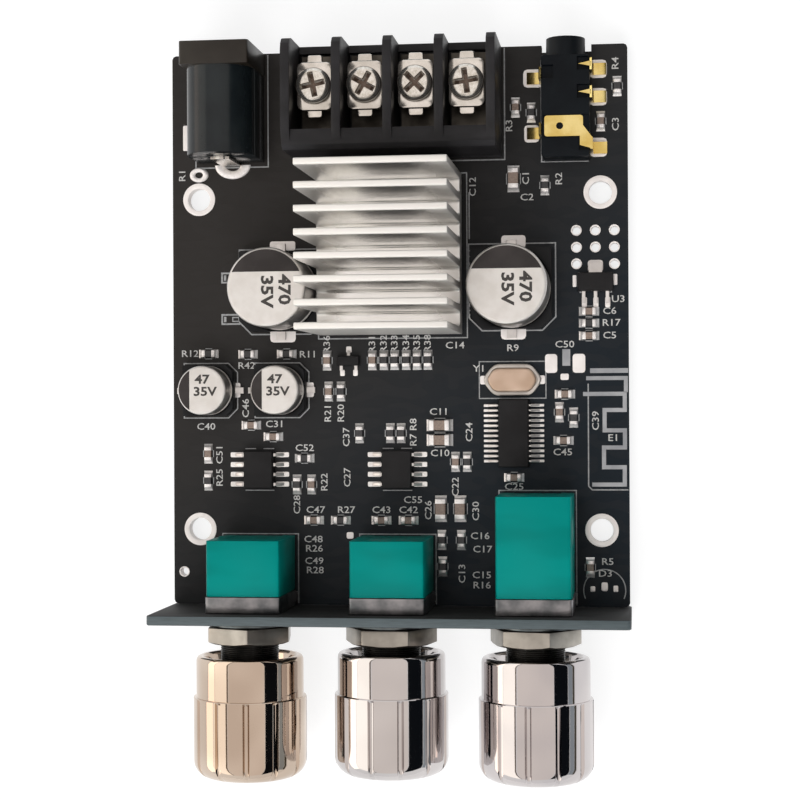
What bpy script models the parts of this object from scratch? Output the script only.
"""Stereo audio amplifier board with a front panel and three rotary controls.

Blender 4.5, run with: blender --background --python part.py
Every size below is in millimetres and becomes metres when a mesh is finished.
Board coordinates: X from the board's left edge, Y from its front edge towards the
connectors, Z from its top face. The world's origin is under the middle of the whole
object, level with the tips of the leads that it stands on.
"""

import math

import bmesh
import bpy
from mathutils import Matrix, Vector

MM = 0.001

# Fits between pieces
SEAT = 0.1
RUNNING = 0.1
LEAD_ROOM = 0.25
LEAD_LIFT = 0.06

# Bare board; its width and depth follow from what stands on it
BOARD_RIGHT_MARGIN = 11.6
BOARD_BACK_MARGIN = 0.1
BOARD_THICKNESS = 1.6
BOARD_CORNER = 0.5
TAIL = 1.6
SCREW_HOLE_RADIUS = 1.5
SCREW_PAD_RADIUS = 2.1
SCREW_PAD_RISE = 0.05
SCREW_HOLE_INSET = 3.5
SCREW_HOLE_FRONT = 9.7
SCREW_HOLE_BACK = 18.8
NOTCH_DEPTH = 0.9
NOTCH_SIDE = 0.7
WIRE_HOLE_RADIUS = 0.6
WIRE_HOLE_PITCH = 2.4
WIRE_HOLES_FROM_RIGHT = 6.55
WIRE_HOLES_Y = (47.8, 45.65)
SPARE_HOLES = ((-6.55, 43.55), (-1.75, 43.5))
TEST_HOLE = (1.35, 4.15)

# Rotary controls and their front panel
CONTROL_NAMES = ("left", "middle", "right")
CONTROL_FIRST_X = 11.4
CONTROL_PITCH = 18.0
AXIS_HEIGHT = 6.75
POT_WIDTH = 9.3
POT_ABOVE_AXIS = 4.55
POT_DEPTHS = (6.9, 6.9, 12.4)
POT_CORNER = 0.5
POT_RIB = 0.35
POT_PIN_PITCH = 2.5
POT_PIN_FROM_REAR = 2.0
POT_PIN = 0.8
BRACKET_THICKNESS = 1.95
BRACKET_MARGIN = 0.1
BRACKET_LEG = 1.0
SHAFT_RADIUS = 3.0
BUSHING_WALL = 0.4
BUSHING_LENGTH = 6.4
SHAFT_LENGTH = 15.2
SHAFT_TAIL = 1.5
SHAFT_FLAT = 0.9
PANEL_THICKNESS = 1.2
PANEL_TOP = 14.0
PANEL_DROP = 0.9
PANEL_OVERHANG = 0.2
PANEL_CORNER = 0.6
PANEL_HOLE_ROOM = 0.2
WASHER_THICKNESS = 0.45
WASHER_RADIUS = 5.0
NUT_FLATS = 10.0
NUT_THICKNESS = 2.1
NUT_TURNS = (22.0, 2.0, 10.0)

# Knobs
KNOB_STANDOFF = 1.6
KNOB_PUSHED_ON = (0.0, 0.65, 0.2)
KNOB_LENGTH = 15.2
KNOB_SKIRT_LENGTH = 5.1
KNOB_BOSS_WALL = 1.3
KNOB_CAVITY_WIDTH = 1.15
KNOB_WALL = 1.2
KNOB_STEP = 0.35
KNOB_ROUNDING = 2.2
KNOB_RIM = 0.4
KNOB_CAVITY = 8.0
KNOB_RECESS = 2.4
KNOB_FLUTES = 12
FLUTE_DEPTH = 0.42
FLUTE_HALF_ANGLE = 3.2
KNOB_TURNS = (7.4, 16.0, -4.8)

# Extruded heat sink on the amplifier chip
SINK_OFFSET = -0.575
SINK_LENGTH = 18.35
SINK_FRONT = 34.7
FIN_COUNT = 8
FIN_PITCH = 2.79
FIN_THICKNESS = 0.85
SINK_TOP = 20.4
SINK_BASE = 2.5
FIN_FILLET = 0.3
FIN_TIP = 0.15
AMP_CHIP = (11.0, 6.2, 1.1)
AMP_LEAD_COUNT = 10
AMP_LEAD_PITCH = 1.0
AMP_SPAN = 8.1
THERMAL_PAD = (9.0, 5.2, 0.3)

# Four-way barrier terminal block
WAYS = 4
WAY_PITCH = 6.35
BLOCK_OFFSET = 0.4
BLOCK_TO_SINK = 2.22
BLOCK_DEPTH = 14.0
BLOCK_WALL = 1.1
BLOCK_LEDGE = 2.5
BLOCK_HEIGHT = 12.0
BLOCK_LEDGE_DROP = 0.6
BLOCK_FLOOR = 3.5
BLOCK_SILL = 4.5
BLOCK_SILL_DEPTH = 1.0
BLOCK_ROUNDING = 1.8
CONTACT_THICKNESS = 0.8
CONTACT_SIDE = 0.35
CONTACT_TAIL = 1.0
CLAMP_SIDE_ROOM = 0.375
CLAMP_FRONT_ROOM = 1.8
CLAMP_BACK_ROOM = 0.9
CLAMP_THICKNESS = 0.8
CLAMP_TONGUE = (1.9, 0.9)
CLAMP_TRAVEL = 3.3
SCREW_RADIUS = 1.45
SCREW_HEAD_MARGIN = 0.05
SCREW_HEAD_HEIGHT = 1.5
SCREW_SLOT = (0.55, 0.9)
SCREW_TURNS = (12.0, -30.0, 44.0, 8.0)

# Barrel jack for the supply
SUPPLY_OFFSET = -3.5
SUPPLY_WIDTH = 8.8
SUPPLY_DEPTH = 13.9
SUPPLY_FLANGE = 2.9
SUPPLY_BACK_INSET = 0.2
SUPPLY_HEIGHT = 11.0
SUPPLY_AXIS_FROM_TOP = 4.4
SUPPLY_BORE_RADIUS = 3.2
SUPPLY_BORE_DEPTH = 9.6
SUPPLY_PIN_RADIUS = 1.0
SUPPLY_PIN_INSET = 1.6
SUPPLY_BARREL_INSET = 0.15
SUPPLY_STRIP = 0.35
SUPPLY_SLEEVE_BACK = 6.0
SUPPLY_SWITCH_BACK = 2.4

# Small round jack for the input; its leads are measured from its back or its front
INPUT_FROM_RIGHT = 7.7
INPUT_WIDTH = 6.0
INPUT_DEPTH = 12.7
INPUT_BACK_INSET = 2.1
INPUT_HEIGHT = 5.0
SNOUT_LENGTH = 2.35
INPUT_BORE_RADIUS = 1.8
INPUT_BORE_DEPTH = 10.0
LEAD_THICKNESS = 0.3
LEAD_REACH_IN = 1.5
INPUT_LEAD_WIDTH = 1.5
RIGHT_LEADS_FROM_BACK = (1.1, 4.6)
LEFT_LEADS_FROM_BACK = (2.1, 9.1)
INPUT_LEAD_REACH = 2.0
SPRING_FROM_FRONT = 2.5
SPRING_WIDTH = 2.6
SPRING_FOOT_FROM_FRONT = 1.6
SPRING_SIDE = 0.4
SPRING_HOLE_RADIUS = 0.45

# Can capacitors: large ones beside the heat sink, small ones in the front left corner
LARGE_CAN_RADIUS = 5.0
LARGE_CAN_HEIGHT = 10.2
LARGE_CAN_Y = 40.45
LEFT_CAN_TO_SINK = 0.2
RIGHT_CAN_TO_SINK = 1.05
SMALL_CAN_RADIUS = 3.15
SMALL_CAN_HEIGHT = 5.4
SMALL_CAN_Y = 27.7
SMALL_CAN_OFFSET = -6.45
SMALL_CAN_GAP = 0.6
CAN_ABOVE_BASE = 0.1
CAN_BASE_MARGIN = 0.15
CAN_BASE_FLOOR = 1.2
CAN_LUGS = 0.7
CAN_GROOVE = 0.25
CAN_EDGE = 0.35
CAN_LEAD_REACH = 1.1

# Chips with leads on two sides
CHIP_WIDTH = 3.9
PREAMP_LEAD_COUNT = 4
PREAMP_PITCH = 1.27
PREAMP_END = 0.55
PREAMP_SPAN = 6.4
PREAMP_HEIGHT = 1.45
PREAMP_Y = 17.45
CONTROL_LEAD_COUNT = 12
CONTROL_LEAD_PITCH = 0.645
CONTROL_END = 0.78
CONTROL_SPAN = 6.6
CONTROL_HEIGHT = 1.4
CONTROL_OFFSET = -3.0
CONTROL_Y = 22.05

# Other packages: offset from the nearest control's axis, Y, then length, width, height
REGULATOR = (7.45, 41.2, 4.5, 2.4, 1.4)
REGULATOR_TAB = (1.7, 1.3)
REGULATOR_PIN_PITCH = 1.5
REGULATOR_PIN_REACH = 1.5
TRANSISTOR = (-6.25, 31.45, 2.9, 1.3, 1.0)
TRANSISTOR_PIN_PITCH = 1.9
TRANSISTOR_PIN_REACH = 0.6
CRYSTAL = (-3.15, 28.85, 7.5, 4.1, 1.5)
CRYSTAL_LID = (5.0, 2.9)
CRYSTAL_FLANGE = 0.45

# Chip resistors and capacitors, soldered on as part of the board: length, width, height
CHIP_SMALL = (1.6, 0.8, 0.5)
CHIP_LARGE = (2.4, 1.2, 1.1)
CHIP_SINK = 0.2

# Where they are: X from the axis of the left, middle and right control, Y from the board's front
SMALL_ALONG_X = (
    ((-6.7, 32.5), (-1.5, 32.4), (3.6, 32.4), (7.1, 10.9), (5.9, 18.9), (-1.1, 23.2), (1.8, 21.7)),
    ((-7.4, 10.9), (-2.1, 10.9), (1.4, 10.9)),
    ((6.6, 37.5), (6.6, 36.0), (6.6, 34.4), (3.5, 27.0), (3.3, 21.1), (-3.0, 16.4)),
)
SMALL_ALONG_Y = (
    ((4.9, 15.5), (6.8, 15.5), (-6.8, 19.5), (-6.8, 16.0)),
    ((-8.9, 27.5), (-7.3, 27.5), (-9.1, 31.5), (-3.2, 31.5), (-1.7, 31.5), (-0.3, 31.5), (1.2, 31.5),
     (2.6, 31.5), (4.0, 31.5), (5.7, 8.4), (8.2, 8.4), (5.8, 5.0), (-4.9, 22.1), (-0.9, 22.1), (0.5, 22.1)),
    ((2.8, 24.7), (4.6, 24.0), (-10.5, 18.4), (-9.0, 18.4), (6.6, 5.0)),
)
LARGE_ALONG_X = ((), ((5.5, 23.1), (5.5, 21.2)), ())
LARGE_ALONG_Y = ((), ((5.6, 12.4), (8.1, 12.4)), ())

# Those beside the input jack: X from the right control's axis, Y back from the board's back edge
SMALL_AT_BACK = ((-2.6, 7.8), (-0.6, 8.5), (10.3, 5.4), (8.2, 9.8), (1.1, 17.8))
LARGE_AT_BACK = ((-2.9, 16.9),)

# Worked out from the values above
CONTROL_X = [CONTROL_FIRST_X + i * CONTROL_PITCH for i in range(len(CONTROL_NAMES))]
LEFT_X, MIDDLE_X, RIGHT_X = CONTROL_X
POT_HEIGHT = AXIS_HEIGHT + POT_ABOVE_AXIS
BUSHING_RADIUS = SHAFT_RADIUS + RUNNING + BUSHING_WALL
KNOB_BOSS_RADIUS = SHAFT_RADIUS + RUNNING + KNOB_BOSS_WALL
KNOB_SKIRT_RADIUS = KNOB_BOSS_RADIUS + KNOB_CAVITY_WIDTH + KNOB_WALL
KNOB_GRIP_RADIUS = KNOB_SKIRT_RADIUS + KNOB_STEP
SINK_DEPTH = (FIN_COUNT - 1) * FIN_PITCH + FIN_THICKNESS
SINK_LEFT = MIDDLE_X + SINK_OFFSET - SINK_LENGTH / 2
SINK_RIGHT = SINK_LEFT + SINK_LENGTH
BLOCK_FRONT = SINK_FRONT + SINK_DEPTH + BLOCK_TO_SINK
BLOCK_BACK = BLOCK_FRONT + BLOCK_DEPTH
BOARD_WIDTH = RIGHT_X + BOARD_RIGHT_MARGIN
BOARD_DEPTH = BLOCK_BACK + BOARD_BACK_MARGIN
BOARD_BOTTOM = -BOARD_THICKNESS
GROUND = BOARD_BOTTOM - TAIL
PANEL_REAR = -SEAT
PANEL_FRONT = PANEL_REAR - PANEL_THICKNESS
WASHER_FRONT = PANEL_FRONT - SEAT - WASHER_THICKNESS
NUT_FRONT = WASHER_FRONT - SEAT - NUT_THICKNESS
KNOB_REAR = NUT_FRONT - KNOB_STANDOFF
KNOB_FRONT = KNOB_REAR - KNOB_LENGTH + min(KNOB_PUSHED_ON)
SUPPLY_X = LEFT_X + SUPPLY_OFFSET
SUPPLY_BACK = BOARD_DEPTH - SUPPLY_BACK_INSET
SUPPLY_FRONT = SUPPLY_BACK - SUPPLY_DEPTH
SUPPLY_AXIS = SUPPLY_HEIGHT - SUPPLY_AXIS_FROM_TOP
INPUT_X = BOARD_WIDTH - INPUT_FROM_RIGHT
INPUT_BACK = BOARD_DEPTH - INPUT_BACK_INSET
INPUT_FRONT = INPUT_BACK - INPUT_DEPTH
INPUT_AXIS = (INPUT_HEIGHT + SEAT) / 2
SNOUT_RADIUS = (INPUT_HEIGHT - SEAT) / 2
SNOUT_BACK = INPUT_BACK + SNOUT_LENGTH
BACK = max(SNOUT_BACK, BOARD_DEPTH)
FRAME_SHIFT = (-BOARD_WIDTH / 2, -(KNOB_FRONT + BACK) / 2, -GROUND)
BLOCK_X = MIDDLE_X + BLOCK_OFFSET
WALL_X = [BLOCK_X + (i - WAYS / 2) * WAY_PITCH for i in range(WAYS + 1)]
WAY_X = [x + WAY_PITCH / 2 for x in WALL_X[:-1]]
CELL_FRONT = BLOCK_FRONT + BLOCK_LEDGE
CELL_BACK = BLOCK_BACK - BLOCK_SILL_DEPTH
CLAMP_WIDTH = WAY_PITCH - BLOCK_WALL - 2 * CLAMP_SIDE_ROOM
CLAMP_LENGTH = CELL_BACK - CELL_FRONT - CLAMP_FRONT_ROOM - CLAMP_BACK_ROOM
CLAMP_Y = CELL_FRONT + CLAMP_FRONT_ROOM + CLAMP_LENGTH / 2
SCREW_HEAD_RADIUS = CLAMP_WIDTH / 2 - SCREW_HEAD_MARGIN
CONTACT_Z = BLOCK_FLOOR + SEAT
CONTACT_TOP = CONTACT_Z + CONTACT_THICKNESS
CLAMP_Z = CONTACT_TOP + SEAT + CLAMP_TRAVEL
HEAD_Z = CLAMP_Z + CLAMP_THICKNESS + SEAT
SINK_Y = SINK_FRONT + SINK_DEPTH / 2
SINK_X = (SINK_LEFT + SINK_RIGHT) / 2


def clear_scene():
    for obj in list(bpy.data.objects):
        bpy.data.objects.remove(obj, do_unlink=True)


def material(name, colour, roughness, metallic=0.0):
    made = bpy.data.materials.get(name)
    if made is None:
        made = bpy.data.materials.new(name)
        made.use_nodes = True
        shader = made.node_tree.nodes["Principled BSDF"]
        shader.inputs["Base Color"].default_value = (*colour, 1.0)
        shader.inputs["Roughness"].default_value = roughness
        shader.inputs["Metallic"].default_value = metallic
    return made


def solder_mask():
    return material("solder mask", (0.020, 0.021, 0.024), 0.42)


def black_plastic():
    return material("black moulding", (0.022, 0.021, 0.022), 0.45)


def panel_black():
    return material("panel black", (0.012, 0.013, 0.015), 0.2)


def teal_plastic():
    return material("teal moulding", (0.005, 0.24, 0.20), 0.38)


def plated_steel():
    return material("plated steel", (0.50, 0.50, 0.48), 0.38, 1.0)


def bright_nickel():
    return material("bright nickel", (0.72, 0.68, 0.63), 0.25, 1.0)


def chrome():
    return material("chrome plate", (0.80, 0.77, 0.73), 0.1, 1.0)


def aluminium():
    return material("mill aluminium", (0.86, 0.84, 0.81), 0.42, 1.0)


def tinned():
    return material("tinned copper", (0.70, 0.68, 0.66), 0.32, 1.0)


def gilt():
    return material("gilt bronze", (0.80, 0.62, 0.26), 0.28, 1.0)


def chip_black():
    return material("chip epoxy", (0.020, 0.020, 0.021), 0.55)


def pad_grey():
    return material("thermal pad grey", (0.30, 0.31, 0.32), 0.8)


def on_axis(axis, pair, level):
    """A flat point and a level along the axis, as a point in space."""
    u, v = pair
    return {"X": (level, u, v), "Y": (u, level, v), "Z": (u, v, level)}[axis]


def loft(sections, axis="Z"):
    """A closed body through outlines of equal length: sections of (outline, level)."""
    bm = bmesh.new()
    rings = [[bm.verts.new(on_axis(axis, p, level)) for p in outline] for outline, level in sections]
    bm.faces.new(rings[0])
    bm.faces.new(rings[-1])
    for low, high in zip(rings, rings[1:]):
        for i in range(len(low)):
            j = (i + 1) % len(low)
            bm.faces.new((low[i], low[j], high[j], high[i]))
    bmesh.ops.recalc_face_normals(bm, faces=bm.faces)
    return bm


def prism(outline, axis, start, end):
    return loft([(outline, start), (outline, end)], axis)


def rounded(low, high, radius=0.0, steps=2):
    """Outline of a rectangle with round corners."""
    (x0, y0), (x1, y1) = low, high
    if radius <= 0:
        return [(x0, y0), (x1, y0), (x1, y1), (x0, y1)]
    points = []
    corners = ((x1 - radius, y0 + radius, -90), (x1 - radius, y1 - radius, 0),
               (x0 + radius, y1 - radius, 90), (x0 + radius, y0 + radius, 180))
    for cx, cy, first in corners:
        for step in range(steps + 1):
            angle = math.radians(first + 90 * step / steps)
            points.append((cx + radius * math.cos(angle), cy + radius * math.sin(angle)))
    return points


def around(centre, size, radius=0.0, steps=2):
    """Outline of a rectangle by its centre and size."""
    (x, y), (w, d) = centre, size
    return rounded((x - w / 2, y - d / 2), (x + w / 2, y + d / 2), radius, steps)


def circle(centre, radius, sides, turn=0.0):
    (x, y) = centre
    angles = [math.radians(turn + 360 * i / sides) for i in range(sides)]
    return [(x + radius * math.cos(a), y + radius * math.sin(a)) for a in angles]


def block(low, high, radius=0.0, axis="Z"):
    """A box from corner to corner, with its edges along the axis rounded."""
    keep = [i for i in range(3) if i != "XYZ".index(axis)]
    level = "XYZ".index(axis)
    outline = rounded([low[i] for i in keep], [high[i] for i in keep], radius)
    return prism(outline, axis, low[level], high[level])


def bar(axis, centre, radius, start, end, sides=16, turn=0.0):
    return prism(circle(centre, radius, sides, turn), axis, start, end)


def lathe(profile, axis, centre, sides):
    """A turned body: a closed profile of (radius, level) swept round the axis."""
    bm = bmesh.new()
    rings = []
    for radius, level in profile:
        spots = circle(centre, radius, sides) if radius > 0 else [centre]
        rings.append([bm.verts.new(on_axis(axis, spot, level)) for spot in spots])
    for a, b in zip(rings, rings[1:] + rings[:1]):
        for i in range(sides):
            j = (i + 1) % sides
            corners = [a[i % len(a)], a[j % len(a)], b[j % len(b)], b[i % len(b)]]
            face = list(dict.fromkeys(corners))
            if len(face) > 2:
                bm.faces.new(face)
    bmesh.ops.recalc_face_normals(bm, faces=bm.faces)
    return bm


def to_object(name, shape, origin):
    shape.transform(Matrix.Translation(-Vector(origin)))
    shape.transform(Matrix.Scale(MM, 4))
    mesh = bpy.data.meshes.new(name)
    shape.to_mesh(mesh)
    shape.free()
    obj = bpy.data.objects.new(name, mesh)
    obj.location = Vector(origin) * MM
    obj.parent = FRAME
    return obj


def boolean(obj, operation, shapes, origin):
    """One exact Boolean with every shape in a hidden collection of helpers."""
    if not shapes:
        return
    helpers = bpy.data.collections.new(f"{obj.name} {operation.lower()}")
    bpy.context.scene.collection.children.link(helpers)
    for count, shape in enumerate(shapes):
        helper = to_object(f"{obj.name} {operation.lower()} {count}", shape, origin)
        helper.hide_render = True
        helper.display_type = "WIRE"
        helpers.objects.link(helper)
    modifier = obj.modifiers.new(operation.title(), "BOOLEAN")
    modifier.operation = operation
    modifier.solver = "EXACT"
    modifier.operand_type = "COLLECTION"
    modifier.collection = helpers


def piece(name, finish, joined, cut=(), kept=(), origin=(0, 0, 0), smooth=30):
    """A finished sub-part: its shapes joined, trimmed to the kept ones, then cut."""
    first, *others = joined
    obj = to_object(name, first, origin)
    bpy.context.scene.collection.objects.link(obj)
    boolean(obj, "UNION", others, origin)
    boolean(obj, "INTERSECT", list(kept), origin)
    boolean(obj, "DIFFERENCE", list(cut), origin)
    obj.data.materials.append(finish)
    obj.data.shade_smooth()
    obj.data.set_sharp_from_angle(angle=math.radians(smooth))
    return obj


def screw_hole_centres():
    xs = (SCREW_HOLE_INSET, BOARD_WIDTH - SCREW_HOLE_INSET)
    ys = (SCREW_HOLE_FRONT, BOARD_DEPTH - SCREW_HOLE_BACK)
    return [(x, y) for x in xs for y in ys]


def pot_pins(index):
    """Centres of a control's pins: three, and three more on the deeper one."""
    rear = BRACKET_THICKNESS + SEAT + POT_DEPTHS[index]
    rows = [rear - POT_PIN_FROM_REAR]
    if POT_DEPTHS[index] > 1.5 * min(POT_DEPTHS):
        rows.append(rows[0] - 2 * POT_PIN_PITCH)
    return [(CONTROL_X[index] + k * POT_PIN_PITCH, y) for y in rows for k in (-1, 0, 1)]


def bracket_legs(index):
    offset = POT_WIDTH / 2 + BRACKET_MARGIN - BRACKET_LEG / 2
    return [(CONTROL_X[index] + side * offset, BRACKET_THICKNESS / 2) for side in (-1, 1)]


def supply_leads():
    """Centre and size of each lead of the supply jack: pin, sleeve and switch."""
    return {
        "pin": ((SUPPLY_X, SUPPLY_FRONT - SEAT - SUPPLY_STRIP / 2), (2.4, SUPPLY_STRIP)),
        "sleeve": ((SUPPLY_X, SUPPLY_FRONT + SUPPLY_SLEEVE_BACK), (2.4, SUPPLY_STRIP)),
        "switch": ((SUPPLY_X - SUPPLY_WIDTH / 2 + SUPPLY_STRIP / 2, SUPPLY_FRONT + SUPPLY_SWITCH_BACK),
                   (SUPPLY_STRIP, 2.2)),
    }


def contact_tail_centres():
    return [(x, CELL_FRONT + CONTACT_SIDE + CONTACT_TAIL) for x in WAY_X]


def lead_slots():
    """Every slot that a lead passes through: centre and size, with room round the lead."""
    found = []
    for index in range(len(CONTROL_X)):
        found += [(spot, (POT_PIN, POT_PIN)) for spot in pot_pins(index)]
        found += [(spot, (BRACKET_LEG, BRACKET_LEG)) for spot in bracket_legs(index)]
    found += [(spot, (CONTACT_TAIL, CONTACT_TAIL)) for spot in contact_tail_centres()]
    found += list(supply_leads().values())
    return [(spot, (w + 2 * LEAD_ROOM, d + 2 * LEAD_ROOM)) for spot, (w, d) in found]


def through(outline):
    return prism(outline, "Z", BOARD_BOTTOM - 1, 1)


def chip(centre, size, along_x):
    length, width, height = size
    footprint = (length, width) if along_x else (width, length)
    return prism(around(centre, footprint), "Z", -CHIP_SINK, height)


def make_board():
    outline = rounded((0, 0), (BOARD_WIDTH, BOARD_DEPTH), BOARD_CORNER)
    joined = [prism(outline, "Z", BOARD_BOTTOM, 0)]
    for spot in screw_hole_centres():
        joined.append(bar("Z", spot, SCREW_PAD_RADIUS, BOARD_BOTTOM - SCREW_PAD_RISE, BOARD_BOTTOM / 2, 14))
    for index, axis_x in enumerate(CONTROL_X):
        for size, along_x, places in ((CHIP_SMALL, True, SMALL_ALONG_X), (CHIP_SMALL, False, SMALL_ALONG_Y),
                                      (CHIP_LARGE, True, LARGE_ALONG_X), (CHIP_LARGE, False, LARGE_ALONG_Y)):
            joined += [chip((axis_x + dx, y), size, along_x) for dx, y in places[index]]
    for size, places in ((CHIP_SMALL, SMALL_AT_BACK), (CHIP_LARGE, LARGE_AT_BACK)):
        joined += [chip((RIGHT_X + dx, BOARD_DEPTH - back), size, False) for dx, back in places]
    cut = [bar("Z", spot, SCREW_HOLE_RADIUS, BOARD_BOTTOM - 1, 1, 14) for spot in screw_hole_centres()]
    for y in WIRE_HOLES_Y:
        for i in range(3):
            spot = (BOARD_WIDTH - WIRE_HOLES_FROM_RIGHT + i * WIRE_HOLE_PITCH, y)
            cut.append(bar("Z", spot, WIRE_HOLE_RADIUS, BOARD_BOTTOM - 1, 1, 6))
    singles = [TEST_HOLE] + [(BOARD_WIDTH + dx, y) for dx, y in SPARE_HOLES]
    cut += [bar("Z", spot, WIRE_HOLE_RADIUS, BOARD_BOTTOM - 1, 1, 6) for spot in singles]
    cut += [through(around(spot, size)) for spot, size in lead_slots()]
    half = SNOUT_RADIUS + NOTCH_SIDE
    notch_low = (INPUT_X - half, BOARD_DEPTH - NOTCH_DEPTH)
    cut.append(through(rounded(notch_low, (INPUT_X + half, BOARD_DEPTH + 1))))
    piece("circuit_board", solder_mask(), joined, cut)


def make_panel():
    low = (-PANEL_OVERHANG, BOARD_BOTTOM - PANEL_DROP)
    outline = rounded(low, (BOARD_WIDTH + PANEL_OVERHANG, PANEL_TOP), PANEL_CORNER)
    radius = BUSHING_RADIUS + PANEL_HOLE_ROOM
    holes = [bar("Y", (x, AXIS_HEIGHT), radius, PANEL_FRONT - 1, 1, 18) for x in CONTROL_X]
    piece("front_panel", panel_black(), [prism(outline, "Y", PANEL_FRONT, PANEL_REAR)], holes)


def make_pot(index):
    """A rotary control's moulded case, its metal bracket with the bushing, and its shaft."""
    name, x = CONTROL_NAMES[index], CONTROL_X[index]
    front = BRACKET_THICKNESS + SEAT
    rear = front + POT_DEPTHS[index]
    low, high = (x - POT_WIDTH / 2, front, SEAT), (x + POT_WIDTH / 2, rear, POT_HEIGHT)
    joined = [block(low, high, POT_CORNER, "Y")]
    rib = POT_WIDTH / 4
    joined.append(block((x - rib, rear - 1, SEAT), (x + rib, rear + POT_RIB, POT_HEIGHT / 2)))
    for spot in pot_pins(index):
        joined.append(prism(around(spot, (POT_PIN, POT_PIN)), "Z", GROUND, 1))
    bore = bar("Y", (x, AXIS_HEIGHT), SHAFT_RADIUS + 2 * RUNNING, front - 1, front + SHAFT_TAIL + SEAT, 16)
    piece(f"pot_case_{name}", teal_plastic(), joined, [bore])

    half = POT_WIDTH / 2 + BRACKET_MARGIN
    top = POT_HEIGHT + BRACKET_MARGIN
    plate = block((x - half, 0, SEAT), (x + half, BRACKET_THICKNESS, top), POT_CORNER, "Y")
    joined = [plate, bar("Y", (x, AXIS_HEIGHT), BUSHING_RADIUS, -BUSHING_LENGTH, 1, 20)]
    for spot in bracket_legs(index):
        joined.append(prism(around(spot, (BRACKET_LEG, BRACKET_LEG)), "Z", GROUND, 1))
    bore = bar("Y", (x, AXIS_HEIGHT), SHAFT_RADIUS + RUNNING, -BUSHING_LENGTH - 1, BRACKET_THICKNESS + 1, 20)
    piece(f"pot_bracket_{name}", plated_steel(), joined, [bore])

    axis = (x, 0, AXIS_HEIGHT)
    shaft = bar("Y", (x, AXIS_HEIGHT), SHAFT_RADIUS, -SHAFT_LENGTH, front + SHAFT_TAIL, 20)
    top = AXIS_HEIGHT + SHAFT_RADIUS
    wide = SHAFT_RADIUS + 1
    flat = block((x - wide, -SHAFT_LENGTH - 1, top - SHAFT_FLAT), (x + wide, KNOB_REAR - 3, top + 1))
    piece(f"pot_shaft_{name}", plated_steel(), [shaft], [flat], origin=axis)


def make_washer_and_nut(index):
    name, centre = CONTROL_NAMES[index], (CONTROL_X[index], AXIS_HEIGHT)
    inner = BUSHING_RADIUS + RUNNING
    ring = ((inner, PANEL_FRONT - SEAT), (WASHER_RADIUS, PANEL_FRONT - SEAT),
            (WASHER_RADIUS, WASHER_FRONT), (inner, WASHER_FRONT))
    piece(f"pot_washer_{name}", plated_steel(), [lathe(ring, "Y", centre, 18)])
    rear = WASHER_FRONT - SEAT
    across_corners = NUT_FLATS / math.cos(math.pi / 6) / 2
    hexagon = prism(circle(centre, across_corners, 6, NUT_TURNS[index]), "Y", NUT_FRONT, rear)
    flat_radius = NUT_FLATS / 2
    drop = 0.35
    turned = ((0, rear), (across_corners + 0.1, rear), (across_corners + 0.1, NUT_FRONT + drop),
              (flat_radius - 0.1, NUT_FRONT), (0, NUT_FRONT))
    hole = bar("Y", centre, inner, NUT_FRONT - 1, rear + 1, 20)
    piece(f"pot_nut_{name}", plated_steel(), [hexagon], [hole], [lathe(turned, "Y", centre, 18)])


def fluted_outline(centre, radius, depth, turn):
    """Round outline with narrow grooves, every sector having the same four points."""
    sector = 360 / KNOB_FLUTES
    inside = ((0, depth), (FLUTE_HALF_ANGLE, 0), (sector / 2, 0), (sector - FLUTE_HALF_ANGLE, 0))
    points = []
    for flute in range(KNOB_FLUTES):
        for offset, cut in inside:
            angle = math.radians(90 + turn + flute * sector + offset)
            reach = radius - cut
            points.append((centre[0] + reach * math.cos(angle), centre[1] + reach * math.sin(angle)))
    return points


def make_knob(index):
    """A plated knob, hollow from behind: plain skirt, fluted grip and a rounded front."""
    name, x = CONTROL_NAMES[index], CONTROL_X[index]
    centre = (x, AXIS_HEIGHT)
    rear = KNOB_REAR + KNOB_PUSHED_ON[index]
    front = rear - KNOB_LENGTH
    step = rear - KNOB_SKIRT_LENGTH
    turn = KNOB_TURNS[index]
    sections = [(KNOB_SKIRT_RADIUS - KNOB_RIM, 0, rear), (KNOB_SKIRT_RADIUS, 0, rear - KNOB_RIM),
                (KNOB_SKIRT_RADIUS, 0, step), (KNOB_GRIP_RADIUS, FLUTE_DEPTH, step - 0.15),
                (KNOB_GRIP_RADIUS, FLUTE_DEPTH, front + KNOB_ROUNDING)]
    for angle in (45, 90):
        a = math.radians(angle)
        radius = KNOB_GRIP_RADIUS - KNOB_ROUNDING * (1 - math.cos(a))
        sections.append((radius, 0, front + KNOB_ROUNDING * (1 - math.sin(a))))
    body = loft([(fluted_outline(centre, r, depth, turn), level) for r, depth, level in sections], "Y")
    inner = KNOB_SKIRT_RADIUS - KNOB_WALL
    bore = SHAFT_RADIUS + RUNNING
    floor = -SHAFT_LENGTH - SEAT
    cavity, recess = rear - KNOB_CAVITY, rear - KNOB_RECESS
    hollow = ((0, rear + 1), (inner, rear + 1), (inner, cavity), (KNOB_BOSS_RADIUS, cavity),
              (KNOB_BOSS_RADIUS, recess), (bore, recess), (bore, floor), (0, floor))
    piece(f"knob_{name}", chrome(), [body], [lathe(hollow, "Y", centre, 18)],
          origin=(x, 0, AXIS_HEIGHT), smooth=25)


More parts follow.
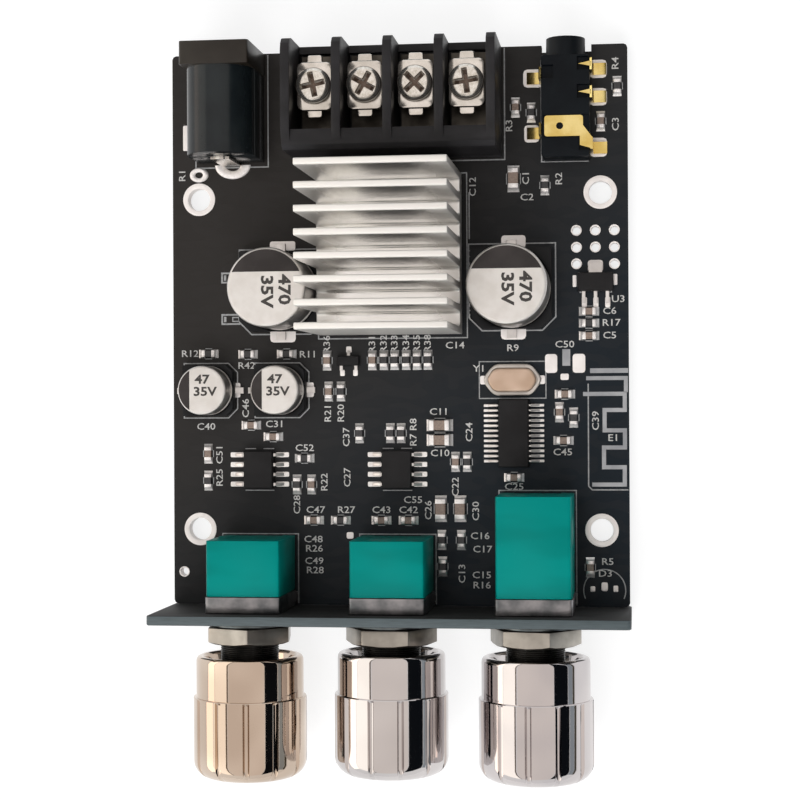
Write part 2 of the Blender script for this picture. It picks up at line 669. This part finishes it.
def make_amplifier_chip():
    length, width, height = AMP_CHIP
    top = SEAT + height
    joined = [package_body((SINK_X, SINK_Y), length, width, SEAT, top)]
    for side in (-1, 1):
        for i in range(AMP_LEAD_COUNT):
            x = SINK_X + (i - (AMP_LEAD_COUNT - 1) / 2) * AMP_LEAD_PITCH
            inner, outer = SINK_Y + side * (width / 2 - 0.2), SINK_Y + side * AMP_SPAN / 2
            outline = [(inner, 0.4), (outer, LEAD_LIFT), (outer, LEAD_LIFT + 0.2), (inner, 0.7)]
            joined.append(prism(outline, "X", x - AMP_LEAD_PITCH / 5, x + AMP_LEAD_PITCH / 5))
    piece("amplifier_chip", chip_black(), joined)
    pad_length, pad_width, pad_height = THERMAL_PAD
    low = top + SEAT
    piece("thermal_pad", pad_grey(), [prism(around((SINK_X, SINK_Y), (pad_length, pad_width), 0.3), "Z",
                                            low, low + pad_height)])
    return low + pad_height + SEAT


def make_heat_sink(bottom):
    """An extrusion along X: one base with tall fins whose roots are rounded and tips eased."""
    root = bottom + SINK_BASE
    outline = [(SINK_FRONT + SINK_DEPTH, bottom), (SINK_FRONT, bottom)]
    for i in range(FIN_COUNT):
        near = SINK_FRONT + i * FIN_PITCH
        far = near + FIN_THICKNESS
        if i:
            outline += [(near - FIN_FILLET, root), (near, root + FIN_FILLET)]
        shoulder = SINK_TOP - FIN_TIP
        outline += [(near, shoulder), (near + FIN_TIP, SINK_TOP), (far - FIN_TIP, SINK_TOP), (far, shoulder)]
        if i < FIN_COUNT - 1:
            outline += [(far, root + FIN_FILLET), (far + FIN_FILLET, root)]
    piece("heat_sink", aluminium(), [prism(outline, "X", SINK_LEFT, SINK_RIGHT)])


def block_wall(x):
    """One barrier between two ways, its upper back corner rounded."""
    corner = []
    for step in range(4):
        angle = math.radians(90 - 30 * step)
        corner.append((BLOCK_BACK - BLOCK_ROUNDING + BLOCK_ROUNDING * math.cos(angle),
                       BLOCK_HEIGHT - BLOCK_ROUNDING + BLOCK_ROUNDING * math.sin(angle)))
    inside = BLOCK_FRONT + 0.4
    outline = [(BLOCK_BACK, 1.0), (inside, 1.0), (inside, BLOCK_HEIGHT - BLOCK_LEDGE_DROP - 0.3),
               (CELL_FRONT, BLOCK_HEIGHT)]
    return prism(outline + corner, "X", x - BLOCK_WALL / 2, x + BLOCK_WALL / 2)


def make_terminal_block():
    left, right = WALL_X[0] - BLOCK_WALL / 2, WALL_X[-1] + BLOCK_WALL / 2
    ledge_top = BLOCK_HEIGHT - BLOCK_LEDGE_DROP
    joined = [block((left, BLOCK_FRONT, SEAT), (right, BLOCK_BACK, BLOCK_FLOOR))]
    spine = [(BLOCK_FRONT, SEAT + 0.2), (CELL_FRONT, SEAT + 0.2), (CELL_FRONT, ledge_top),
             (BLOCK_FRONT + 0.6, ledge_top), (BLOCK_FRONT, ledge_top - 0.6)]
    joined.append(prism(spine, "X", left + 0.05, right - 0.05))
    joined.append(block((left + 0.05, CELL_BACK, 1), (right - 0.05, BLOCK_BACK - 0.05, BLOCK_SILL)))
    joined += [block_wall(x) for x in WALL_X]
    cut = []
    for x, tail in zip(WAY_X, contact_tail_centres()):
        size = CONTACT_TAIL + 2 * LEAD_ROOM
        cut.append(prism(around(tail, (size, size)), "Z", -1, BLOCK_FLOOR + 1))
        cut.append(bar("Z", (x, CLAMP_Y), SCREW_RADIUS + 0.6, -1, BLOCK_FLOOR + 1, 8))
    piece("terminal_block", black_plastic(), joined, cut)


def make_way(index):
    """One way's contact, its clamp plate and its screw, backed out as delivered."""
    x, tail = WAY_X[index], contact_tail_centres()[index]
    number = index + 1
    width = WAY_PITCH - BLOCK_WALL - 2 * CONTACT_SIDE
    front, back = CELL_FRONT + CONTACT_SIDE, CELL_BACK - CONTACT_SIDE
    strip = block((x - width / 2, front, CONTACT_Z), (x + width / 2, back, CONTACT_TOP))
    collar = bar("Z", (x, CLAMP_Y), SCREW_RADIUS + 0.3 + RUNNING, CONTACT_Z - 0.9, CONTACT_Z + 0.3, 8)
    leg = prism(around(tail, (CONTACT_TAIL, CONTACT_TAIL)), "Z", GROUND, CONTACT_Z + 0.4)
    hole = bar("Z", (x, CLAMP_Y), SCREW_RADIUS + RUNNING, CONTACT_Z - 2, CONTACT_TOP + 1, 14)
    piece(f"terminal_contact_{number}", tinned(), [strip, collar, leg], [hole])

    tongue_width, tongue_length = CLAMP_TONGUE
    axis = (x, CLAMP_Y, CLAMP_Z)
    top = CLAMP_Z + CLAMP_THICKNESS
    reach = CLAMP_LENGTH / 2
    body = reach - tongue_length
    side = CLAMP_WIDTH / 2
    plate = block((x - side, CLAMP_Y - body, CLAMP_Z), (x + side, CLAMP_Y + body, top), 0.7)
    half = tongue_width / 2
    tongue = block((x - half, CLAMP_Y - reach, CLAMP_Z), (x + half, CLAMP_Y + reach, top - 0.15), 0.3)
    hole = bar("Z", (x, CLAMP_Y), SCREW_RADIUS + 2 * RUNNING, CLAMP_Z - 1, top + 1, 14)
    piece(f"clamp_plate_{number}", bright_nickel(), [plate, tongue], [hole], origin=axis)

    head_top = HEAD_Z + SCREW_HEAD_HEIGHT
    tip = CONTACT_Z + 0.1
    profile = ((0, head_top), (0.8 * SCREW_HEAD_RADIUS, head_top), (SCREW_HEAD_RADIUS, head_top - 0.6),
               (SCREW_HEAD_RADIUS, HEAD_Z), (SCREW_RADIUS, HEAD_Z), (SCREW_RADIUS, tip + 0.3),
               (SCREW_RADIUS - 0.3, tip), (0, tip))
    slot_width, slot_depth = SCREW_SLOT
    slots = []
    for turn in (0, 90):
        arm = around((0, 0), (2 * SCREW_HEAD_RADIUS * 0.74, slot_width))
        spin = Matrix.Rotation(math.radians(SCREW_TURNS[index] + turn), 2)
        outline = [tuple(spin @ Vector(p) + Vector((x, CLAMP_Y))) for p in arm]
        slots.append(prism(outline, "Z", head_top - slot_depth + 0.02 * turn / 90, head_top + 1))
    screw = lathe(profile, "Z", (x, CLAMP_Y), 12)
    piece(f"terminal_screw_{number}", bright_nickel(), [screw], slots, origin=axis)


def make_supply_jack():
    x, half, back = SUPPLY_X, SUPPLY_WIDTH / 2, SUPPLY_BACK
    shoulder = back - SUPPLY_FLANGE
    leads = supply_leads()
    flange = block((x - half, shoulder, SEAT), (x + half, back, SUPPLY_HEIGHT), 0.4, "Y")
    low, high = (x - half + 0.1, SUPPLY_FRONT, SEAT + 0.05), (x + half - 0.1, shoulder + 1, SUPPLY_AXIS - 0.4)
    base = block(low, high)
    radius = SUPPLY_HEIGHT - SUPPLY_BARREL_INSET - SUPPLY_AXIS
    barrel = bar("Y", (x, SUPPLY_AXIS), radius, SUPPLY_FRONT + 0.05, shoulder + 1, 28, 360 / 56)
    floor = back - SUPPLY_BORE_DEPTH
    cut = [bar("Y", (x, SUPPLY_AXIS), SUPPLY_BORE_RADIUS, floor, back + 1, 24),
           bar("Y", (x, SUPPLY_AXIS), SUPPLY_PIN_RADIUS + SEAT, SUPPLY_FRONT - 1, floor + 1, 12)]
    sleeve_spot, (sleeve_width, _) = leads["sleeve"]
    groove_top = SUPPLY_AXIS - SUPPLY_BORE_RADIUS + 0.3
    groove = (sleeve_width / 2 + SEAT, groove_top - SUPPLY_STRIP - 2 * SEAT - 0.3)
    cut.append(block((x - groove[0], floor + 0.3, groove[1]), (x + groove[0], back - 0.8, groove_top + 0.5)))
    slot = around(sleeve_spot, (sleeve_width + 2 * SEAT, SUPPLY_STRIP + 2 * SEAT))
    cut.append(prism(slot, "Z", -1, groove_top))
    switch_spot, (_, switch_width) = leads["switch"]
    near, far = switch_spot[1] - switch_width / 2 - SEAT, switch_spot[1] + switch_width / 2 + SEAT
    cut.append(block((x - half - 1, near, -1), (x - half + SUPPLY_STRIP + SEAT, far, SUPPLY_AXIS - 1)))
    piece("supply_jack_case", black_plastic(), [flange, base, barrel], cut)

    tip = back - SUPPLY_PIN_INSET
    end = SUPPLY_FRONT - SEAT - SUPPLY_STRIP
    profile = ((0, tip), (0.5 * SUPPLY_PIN_RADIUS, tip), (SUPPLY_PIN_RADIUS, tip - 0.6),
               (SUPPLY_PIN_RADIUS, end), (0, end))
    pin = lathe(profile, "Y", (x, SUPPLY_AXIS), 12)
    tail = prism(around(*leads["pin"]), "Z", GROUND, SUPPLY_AXIS + 0.7 * SUPPLY_PIN_RADIUS)
    piece("supply_jack_pin", bright_nickel(), [tail, pin])

    low = groove_top - SUPPLY_STRIP - 0.3
    side = sleeve_width / 2
    leaf = block((x - side, floor + 0.3 + SEAT, low), (x + side, back - 1.2, low + SUPPLY_STRIP))
    leg = prism(around(*leads["sleeve"]), "Z", GROUND, low + 0.1)
    piece("supply_jack_sleeve", bright_nickel(), [leaf, leg])
    switch = prism(around(*leads["switch"]), "Z", GROUND, SUPPLY_AXIS - 1.2)
    piece("supply_jack_switch", bright_nickel(), [switch])


def input_leads():
    """Side and Y of each lead of the input jack."""
    right = [(1, INPUT_BACK - back) for back in RIGHT_LEADS_FROM_BACK]
    return right + [(-1, INPUT_BACK - back) for back in LEFT_LEADS_FROM_BACK]


def foot_outline(side, start, top, ceiling):
    """A strip that comes out of the case at the ceiling, goes down and turns out onto the board."""
    wall = INPUT_X + side * (INPUT_WIDTH / 2 + SEAT)
    toe, skin = wall + side * INPUT_LEAD_REACH, wall + side * LEAD_THICKNESS
    step = LEAD_LIFT + LEAD_THICKNESS
    return [(start, top), (skin, top), (skin, step), (toe, step), (toe, LEAD_LIFT), (wall, LEAD_LIFT),
            (wall, ceiling), (start, ceiling)]


def input_lead(side, y, top):
    start = INPUT_X + side * (INPUT_WIDTH / 2 + SEAT - LEAD_REACH_IN)
    outline = foot_outline(side, start, top, top - LEAD_THICKNESS)
    return prism(outline, "Y", y - INPUT_LEAD_WIDTH / 2, y + INPUT_LEAD_WIDTH / 2)


def input_notch(side, y, low):
    """The pocket in the case that such a strip leaves by."""
    wall = INPUT_X + side * INPUT_WIDTH / 2
    xs = sorted((wall - side * LEAD_REACH_IN, wall + side))
    reach = INPUT_LEAD_WIDTH / 2 + SEAT
    return block((xs[0], y - reach, low), (xs[1], y + reach, INPUT_HEIGHT + 1))


def make_input_jack():
    x, half = INPUT_X, INPUT_WIDTH / 2
    case = block((x - half, INPUT_FRONT, SEAT), (x + half, INPUT_BACK, INPUT_HEIGHT), 0.3)
    snout = bar("Y", (x, INPUT_AXIS), SNOUT_RADIUS, INPUT_BACK - 1, SNOUT_BACK, 20)
    bore = bar("Y", (x, INPUT_AXIS), INPUT_BORE_RADIUS, SNOUT_BACK - INPUT_BORE_DEPTH, SNOUT_BACK + 1, 16)
    lead_top = INPUT_HEIGHT - 0.5
    cut = [bore] + [input_notch(side, y, lead_top - LEAD_THICKNESS - SEAT) for side, y in input_leads()]

    near = INPUT_FRONT + SPRING_FROM_FRONT
    far = near + SPRING_WIDTH
    plate_z = INPUT_HEIGHT - LEAD_THICKNESS
    left, right = x - half + SPRING_SIDE, x + half - 2 * SPRING_SIDE
    low = plate_z - SEAT
    cut.append(block((left - SEAT, near - SEAT, low), (x + half + 1, far + SEAT, INPUT_HEIGHT + 1)))
    foot_y = INPUT_FRONT + SPRING_FOOT_FROM_FRONT
    foot_near, foot_far = foot_y - INPUT_LEAD_WIDTH / 2, foot_y + INPUT_LEAD_WIDTH / 2
    bend = x + half - 1.2
    cut.append(block((bend - SEAT, foot_near - SEAT, low), (x + half + 1, near + 0.5, INPUT_HEIGHT + 1)))
    piece("input_jack_case", black_plastic(), [case, snout], cut)

    plate = block((left, near, plate_z), (right, far, INPUT_HEIGHT), 0.3)
    skin = x + half + SEAT + LEAD_THICKNESS - 0.05
    arm = [(bend, far - 1.2), (bend, foot_near + 0.5), (skin, foot_near + 0.05), (skin, foot_far - 0.05),
           (right - 0.05, far - 1.2)]
    arm = prism(arm, "Z", plate_z + 0.02, INPUT_HEIGHT - 0.02)
    top = INPUT_HEIGHT - 0.04
    foot = prism(foot_outline(1, x + half + SEAT, top, top)[1:7], "Y", foot_near, foot_far)
    hole = bar("Z", (x - 0.7, (near + far) / 2), SPRING_HOLE_RADIUS, 1, INPUT_HEIGHT + 1, 10)
    piece("input_jack_spring", gilt(), [plate, arm, foot], [hole])
    for count, (side, y) in enumerate(input_leads()):
        piece(f"input_jack_lead_{count + 1}", gilt(), [input_lead(side, y, lead_top)])


def can_base_outline(centre, half, keyed):
    """A square moulding with two corners cut off: those at the keyed corner numbers."""
    x, y = centre
    key = 0.27 * half
    points = []
    for corner, (sx, sy) in enumerate(((-1, -1), (1, -1), (1, 1), (-1, 1))):
        if corner not in keyed:
            points.append((x + sx * half, y + sy * half))
            continue
        pair = [(x + sx * (half - key), y + sy * half), (x + sx * half, y + sy * (half - key))]
        points += pair if sx * sy < 0 else pair[::-1]
    return points


def make_capacitor(name, centre, radius, height, leads_along_x):
    """An aluminium can with a rolled groove, held by the corner lugs of a moulded base."""
    half = radius + CAN_BASE_MARGIN
    bottom = SEAT + CAN_BASE_FLOOR
    seat = bottom + CAN_ABOVE_BASE
    low = seat + 1.1
    profile = ((0, seat), (radius, seat), (radius, low), (radius - CAN_GROOVE, low + 0.4),
               (radius, low + 0.8), (radius, height - CAN_EDGE), (radius - CAN_EDGE, height), (0, height))
    sides = 22 if radius > 4 else 18
    piece(f"{name}_can", aluminium(), [lathe(profile, "Z", centre, sides)])

    x, y = centre
    outline = can_base_outline(centre, half, (1, 2) if leads_along_x else (0, 1))
    joined = [prism(outline, "Z", SEAT, bottom + CAN_LUGS)]
    pocket = bar("Z", centre, half + 0.12, bottom, bottom + CAN_LUGS + 1, sides)
    width, top = radius / 8, LEAD_LIFT + LEAD_THICKNESS
    for way in (-1, 1):
        near, far = sorted((way * half / 2, way * (half + CAN_LEAD_REACH)))
        if leads_along_x:
            joined.append(block((x + near, y - width, LEAD_LIFT), (x + far, y + width, top)))
        else:
            joined.append(block((x - width, y + near, LEAD_LIFT), (x + width, y + far, top)))
    piece(f"{name}_base", black_plastic(), joined, [pocket])


def make_capacitors():
    half = CAN_BASE_MARGIN + LARGE_CAN_RADIUS
    left, right = SINK_LEFT - LEFT_CAN_TO_SINK - half, SINK_RIGHT + RIGHT_CAN_TO_SINK + half
    for side, x in (("left", left), ("right", right)):
        centre = (x, LARGE_CAN_Y)
        make_capacitor(f"supply_capacitor_{side}", centre, LARGE_CAN_RADIUS, LARGE_CAN_HEIGHT, False)
    pitch = 2 * (SMALL_CAN_RADIUS + CAN_BASE_MARGIN + CAN_LEAD_REACH) + SMALL_CAN_GAP
    for side, shift in (("left", 0), ("middle", pitch)):
        centre = (LEFT_X + SMALL_CAN_OFFSET + shift, SMALL_CAN_Y)
        make_capacitor(f"signal_capacitor_{side}", centre, SMALL_CAN_RADIUS, SMALL_CAN_HEIGHT, True)


def package_body(centre, length, width, bottom, top):
    """A moulded body with drafted sides, widest at the middle, long along X."""
    draft = 0.12
    middle = (bottom + top) / 2
    sizes = ((draft, bottom), (0, middle - 0.05), (0, middle + 0.05), (draft, top))
    return loft([(around(centre, (length - 2 * d, width - 2 * d)), level) for d, level in sizes])


def make_chip_package(name, centre, count, pitch, end, span, height):
    """A small-outline chip whose gull-wing leads come out to left and right."""
    x, y = centre
    length = (count - 1) * pitch + 2 * end
    joined = [package_body((x, y), CHIP_WIDTH, length, SEAT, SEAT + height)]
    shoulder = SEAT + height / 2
    for side in (-1, 1):
        edge, tip = x + side * CHIP_WIDTH / 2, x + side * span / 2
        for i in range(count):
            at = y + (i - (count - 1) / 2) * pitch
            outline = [(edge - side * 0.2, shoulder + 0.1), (edge + side * 0.25, shoulder + 0.1),
                       (tip, LEAD_LIFT + 0.2), (tip, LEAD_LIFT), (edge + side * 0.3, LEAD_LIFT),
                       (edge - side * 0.2, shoulder - 0.15)]
            joined.append(prism(outline, "Y", at - pitch * 0.16, at + pitch * 0.16))
    piece(name, chip_black(), joined)


def make_regulator():
    dx, y, length, width, height = REGULATOR
    x = RIGHT_X + dx
    joined = [package_body((x, y), length, width, SEAT, height)]
    tab_width, tab_reach = REGULATOR_TAB
    joined.append(block((x - tab_width / 2, y, 0.15), (x + tab_width / 2, y + width / 2 + tab_reach, 0.5)))
    for i in (-1, 0, 1):
        at = x + i * REGULATOR_PIN_PITCH
        joined.append(block((at - 0.22, y - width / 2 - REGULATOR_PIN_REACH, 0.15), (at + 0.22, y, 0.5)))
    piece("regulator", chip_black(), joined)


def make_transistor():
    dx, y, length, width, height = TRANSISTOR
    x = MIDDLE_X + dx
    joined = [package_body((x, y), length, width, SEAT, height)]
    reach = width / 2 + TRANSISTOR_PIN_REACH
    joined.append(block((x - 0.2, y, 0.12), (x + 0.2, y + reach, 0.4)))
    for side in (-1, 1):
        at = x + side * TRANSISTOR_PIN_PITCH / 2
        joined.append(block((at - 0.2, y - reach, 0.12), (at + 0.2, y, 0.4)))
    piece("transistor", chip_black(), joined)


def make_crystal():
    dx, y, length, width, height = CRYSTAL
    centre = (RIGHT_X + dx, y)
    lid_length, lid_width = CRYSTAL_LID
    flange = prism(around(centre, (length, width), 0.45 * width, 4), "Z", SEAT, SEAT + CRYSTAL_FLANGE)
    rise = height - CRYSTAL_FLANGE
    levels = ((0, CRYSTAL_FLANGE - 0.1), (0, CRYSTAL_FLANGE + 0.75 * rise), (0.35, height))
    radius = 0.3 * lid_width
    lid = [(around(centre, (lid_length - 2 * d, lid_width - 2 * d), radius, 3), z) for d, z in levels]
    piece("crystal", bright_nickel(), [flange, loft(lid)])


clear_scene()
FRAME = bpy.data.objects.new("board_frame", None)
FRAME.location = Vector(FRAME_SHIFT) * MM
bpy.context.scene.collection.objects.link(FRAME)

make_board()
make_panel()
for control in range(len(CONTROL_NAMES)):
    make_pot(control)
    make_washer_and_nut(control)
    make_knob(control)
make_heat_sink(make_amplifier_chip())
make_terminal_block()
for way in range(WAYS):
    make_way(way)
make_supply_jack()
make_input_jack()
make_capacitors()
make_chip_package("control_chip", (RIGHT_X + CONTROL_OFFSET, CONTROL_Y), CONTROL_LEAD_COUNT,
                  CONTROL_LEAD_PITCH, CONTROL_END, CONTROL_SPAN, CONTROL_HEIGHT)
for side, axis_x in (("left", LEFT_X), ("right", MIDDLE_X)):
    make_chip_package(f"preamp_chip_{side}", (axis_x, PREAMP_Y), PREAMP_LEAD_COUNT, PREAMP_PITCH,
                      PREAMP_END, PREAMP_SPAN, PREAMP_HEIGHT)
make_regulator()
make_transistor()
make_crystal()
